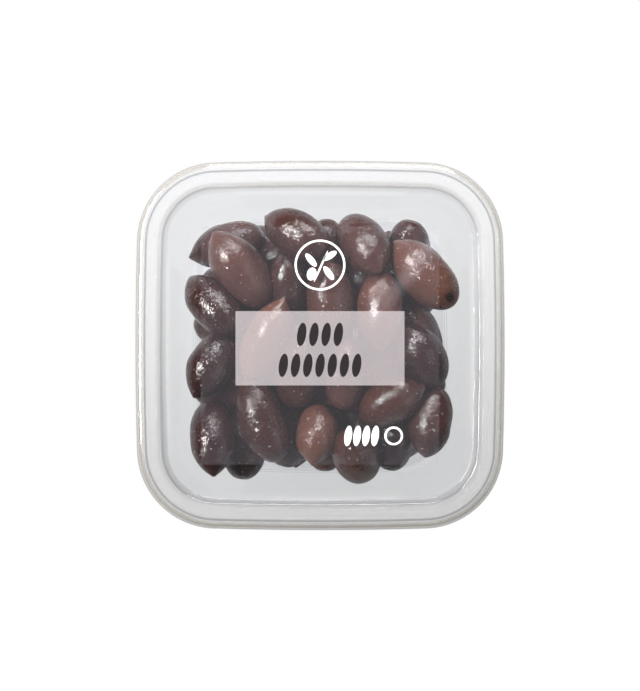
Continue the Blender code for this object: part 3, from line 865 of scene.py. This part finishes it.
# The band is x and y of its middle, its width, height and corner. A row is its number of
# ovals and its y. An oval is its width, height and lean in degrees, and one of the sprig
# starts with x and y from the emblem's middle. MARKS are the white ovals' places along x,
# the end ring is its place along x and its width, and both rings are LINE thick.
BAND = (0.0, -0.9, 54.6, 24.0, 0.2)
ROWS = ((4, 3.6), (7, -6.4))
ROW_STEP = 3.95
ROW_OVAL = (2.9, 7.6, -8.0)
EMBLEM = (0.0, 26.0)
EMBLEM_WIDTH = 16.4
LINE = 0.65
SPRIG = ((0.3, -0.4, 0.6, 11.0, -24.0), (-2.9, 1.6, 2.0, 5.2, 40.0), (2.8, -2.6, 2.0, 5.2, 36.0),
         (3.2, 3.0, 2.0, 5.0, -58.0), (-2.7, -2.9, 3.0, 4.2, -15.0))
MARKS = (9.1, 12.0, 14.9, 17.8)
MARK_OVAL = (2.4, 6.6, -8.0)
MARK_HEIGHT = -29.2
END_RING = (23.8, 6.0)

# The glare, a painted highlight on the film, is a stripe square to GLARE_ACROSS, at its
# middle and spread, and fades in between two places along y, all in metres.
FILM_CLEAR = (0.975, 0.975, 0.98, 1.0)
FILM_HAZE = ((0.78, 0.76, 0.86, 1.0), (0.86, 0.84, 0.92, 1.0))
FILM_GRAIN = 0.0008
GLARE_ACROSS = (0.789, 0.615)
GLARE_STRIPE = (0.0084, 0.0040)
GLARE_FROM = (0.004, 0.020)
GLARE_COVER = 0.022
FILM_COVER = 0.0085
FILM_UNEVEN = 0.007


def film(item):
    """Clear film that scatters a little of the light over whatever lies under it, most in
    a slanting band towards its back right corner, which is a painted glare.
    """
    made = new_finish("label_film")
    place = made.node("ShaderNodeSeparateXYZ", {}, {0: made.place()})
    x, y = (Value(made, place.outputs[k]) for k in range(2))
    across = x * GLARE_ACROSS[0] - y * GLARE_ACROSS[1]
    # Painted glare: a slanting band of painted highlight towards the back right corner.
    glare = stripe(across, *GLARE_STRIPE) * y.between(*GLARE_FROM)
    grain = made.noise(FILM_GRAIN, detail=3.0)
    haze = made.node("ShaderNodeBsdfPrincipled", {}, {
        "Base Color": made.blend(grain, *FILM_HAZE), "Roughness": 0.4})
    clear = made.node("ShaderNodeBsdfTransparent", {}, {"Color": FILM_CLEAR})
    cover = grain * FILM_UNEVEN + FILM_COVER + glare * GLARE_COVER
    made.done(made.mix(cover, clear, haze), item)


def oval(x, y, across, tall, lean=0.0):
    """Outline of an oval round (x, y), with its top turned lean degrees to the left."""
    tilt = math.radians(lean)
    angle = np.linspace(0.0, 2.0 * np.pi, OUTLINE_POINTS, endpoint=False)
    u, v = across / 2.0 * np.cos(angle), tall / 2.0 * np.sin(angle)
    return np.stack([x + u * math.cos(tilt) - v * math.sin(tilt),
                     y + u * math.sin(tilt) + v * math.cos(tilt)], axis=-1)


def ring_outlines(x, y, across):
    """Inner and outer outline of a ring round (x, y) that is drawn with one LINE."""
    inside = across - 2.0 * LINE
    return oval(x, y, inside, inside), oval(x, y, across, across)


def box_outline(x, y, across, tall, corner):
    """Outline of a box round (x, y): a small circle whose quarters move out to its corners."""
    angle = 2.0 * np.pi * (np.arange(OUTLINE_POINTS) + 0.5) / OUTLINE_POINTS
    c, s = np.cos(angle), np.sin(angle)
    return np.stack([x + np.sign(c) * (across / 2.0 - corner) + corner * c,
                     y + np.sign(s) * (tall / 2.0 - corner) + corner * s], axis=-1)


def print_layer(name, filled, rings=()):
    """Thin layer of ink from filled outlines and from pairs of inner and outer outline.

    A filled outline is one face, and a pair is a strip of quads between its outlines.
    """
    each = OUTLINE_POINTS
    flat = np.concatenate([*filled, *(ring[1] for ring in rings)])
    faces = (np.arange(each) + each * np.arange(len(filled))[:, None]).tolist()
    for number, (inner, _) in enumerate(rings):
        strip = grid_faces(2, each)
        start = (len(filled) + number) * each
        faces += np.where(strip < each, strip + start, strip - each + len(flat)).tolist()
        flat = np.concatenate([flat, inner])
    item = add_mesh(name, np.column_stack([flat, np.full(len(flat), PRINT_FOOT)]), faces, False)
    layer = item.modifiers.new("ink", "SOLIDIFY")
    layer.thickness = PRINT_THICK * MM
    layer.offset = 1.0
    return item


INK_GRAIN = 0.0004
INK_DARKER = 0.94
INK_UNEVEN = 0.04


def ink(name, colour, cover, *items):
    """Printed ink that covers part of what lies under it, with a fine uneven grain."""
    made = new_finish(name)
    speck = made.noise(INK_GRAIN, detail=3.0)
    darker = (*(c * INK_DARKER for c in colour[:3]), 1.0)
    layer = made.node("ShaderNodeBsdfPrincipled", {}, {
        "Base Color": made.blend(speck, colour, darker), "Roughness": 0.45, "IOR": 1.2})
    clear = made.node("ShaderNodeBsdfTransparent", {}, {"Color": WHITE})
    covered = speck * INK_UNEVEN + cover - INK_UNEVEN / 2.0
    made.done(made.mix(covered.clamped(), clear, layer), *items)


film(label)
band = print_layer("label_band", [box_outline(*BAND)])
row_ovals = [oval((k - (number - 1) / 2.0) * ROW_STEP, y, *ROW_OVAL)
             for number, y in ROWS for k in range(number)]
rows_print = print_layer("label_rows", row_ovals)
emblem_ring = ring_outlines(*EMBLEM, EMBLEM_WIDTH)
sprig = [oval(EMBLEM[0] + x, EMBLEM[1] + y, *size) for x, y, *size in SPRIG]
emblem = print_layer("label_emblem", sprig, [emblem_ring])
end_ring = ring_outlines(END_RING[0], MARK_HEIGHT, END_RING[1])
mark_ovals = [oval(x, MARK_HEIGHT, *MARK_OVAL) for x in MARKS]
marks = print_layer("label_marks", mark_ovals, [end_ring])
ink("band_ink", (0.735, 0.68, 0.70, 1.0), 0.17, band)
ink("dark_ink", (0.020, 0.016, 0.018, 1.0), 0.97, rows_print)
ink("white_ink", (0.88, 0.88, 0.88, 1.0), 0.97, emblem, marks)
for printed in (band, rows_print, emblem, marks):
    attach(printed, "root")


# Table, light and camera
# A white table under a pale sky, both with only a dim light of their own. One strong
# lamp stands to the left, a weak one to the right and a small weak one behind. The camera
# looks straight down on the lid.
TABLE_RADIUS = 1500.0
TABLE_DROP = 0.3
TABLE_RINGS = 14
TABLE_SIDES = 64
TABLE_HUB = 0.005
TABLE_COLOURS = ((0.44, 0.44, 0.45, 1.0), (0.46, 0.46, 0.47, 1.0))
TABLE_GRAIN = 0.004
reach, turn = np.meshgrid(np.linspace(TABLE_HUB, 1.0, TABLE_RINGS) * TABLE_RADIUS,
                          np.linspace(0.0, 2.0 * np.pi, TABLE_SIDES, endpoint=False),
                          indexing="ij")
disc = np.stack([reach * np.cos(turn), reach * np.sin(turn), np.full_like(reach, -TABLE_DROP)],
                axis=-1)
table_rings = grid_faces(TABLE_RINGS, TABLE_SIDES)[:, ::-1].tolist()
table_hub = [list(range(TABLE_SIDES))]
table = add_mesh("table", disc, table_rings + table_hub, False)
paint = new_finish("white_table")
matt = paint.node("ShaderNodeBsdfPrincipled", {}, {
    "Base Color": paint.blend(paint.noise(TABLE_GRAIN), *TABLE_COLOURS), "Roughness": 0.8})
glow = paint.node("ShaderNodeEmission", {}, {"Color": WHITE})
seen_table = paint.node("ShaderNodeLightPath", {}, {}).outputs["Is Camera Ray"]
paint.done(paint.mix(seen_table, matt, glow), table)

# The sky is white to the camera. It lights the scene with SKY_LOW near the horizon, and
# with SKY_FALL less above the second of SKY_HEIGHTS.
SKY_LOW = 0.42
SKY_FALL = 0.32
SKY_HEIGHTS = (0.15, 0.85)
sky = Finish(bpy.data.worlds.new("pale_sky"))
bpy.context.scene.world = sky.owner
direction = sky.node("ShaderNodeTexCoord", {}, {}).outputs["Generated"]
height = sky.value("ShaderNodeSeparateXYZ", {}, {0: direction}, "Z")
seen = sky.value("ShaderNodeLightPath", {}, {}, "Is Camera Ray")
lit = SKY_LOW - height.between(*SKY_HEIGHTS) * SKY_FALL
strength = seen + (1.0 - seen) * lit
pale = sky.node("ShaderNodeBackground", {}, {"Color": WHITE, "Strength": strength})
sky.node("ShaderNodeOutputWorld", {}, {"Surface": pale.outputs[0]})


# One row for each lamp: name, place, width, height, power and colour; metres and watts.
LAMPS = (
    ("lamp_left", (-0.90, 0.30, 1.25), 0.90, 0.22, 46.0, (1.0, 0.98, 0.96)),
    ("lamp_back", (0.05, 0.40, 0.32), 0.30, 0.30, 3.0, (0.97, 0.98, 1.0)),
    ("lamp_right", (1.10, -0.20, 1.00), 1.00, 1.00, 3.0, (1.0, 1.0, 1.0)),
)
LAMP_TARGET = (0.0, 0.0, 0.05)


def add_lamp(name, place, width, height, power, colour):
    """Soft box at place, turned to face the middle of the tub."""
    light = bpy.data.lights.new(name, "AREA")
    light.shape = "RECTANGLE"
    light.size = width
    light.size_y = height
    light.energy = power
    light.color = colour
    item = bpy.data.objects.new(name, light)
    item.location = place
    away = np.array(place) - np.array(LAMP_TARGET)
    spin = math.atan2(away[1], away[0]) + math.pi / 2.0
    tilt = math.atan2(math.hypot(away[0], away[1]), away[2])
    item.rotation_euler = (tilt, 0.0, spin)
    bpy.context.scene.collection.objects.link(item)


for lamp in LAMPS:
    add_lamp(*lamp)

# The camera's height above the lid and the height of what it sees there, in metres.
CAMERA_ABOVE_LID = 0.550
FRAME_HEIGHT = 0.2217
SENSOR = 36.0
camera_data = bpy.data.cameras.new("camera")
camera_data.sensor_width = SENSOR
camera_data.lens = SENSOR * CAMERA_ABOVE_LID / FRAME_HEIGHT
camera_data.clip_start = 0.01
camera_data.clip_end = 20.0
camera = bpy.data.objects.new("camera", camera_data)
camera.location = (0.0, 0.0, cad_high.z + CAMERA_ABOVE_LID)
bpy.context.scene.collection.objects.link(camera)
bpy.context.scene.camera = camera
bpy.context.scene.view_settings.view_transform = "Standard"
bpy.context.scene.cycles.max_bounces = 16
bpy.context.scene.cycles.transmission_bounces = 14
bpy.context.scene.cycles.transparent_max_bounces = 16
bpy.context.scene.cycles.glossy_bounces = 4
bpy.context.scene.cycles.diffuse_bounces = 3
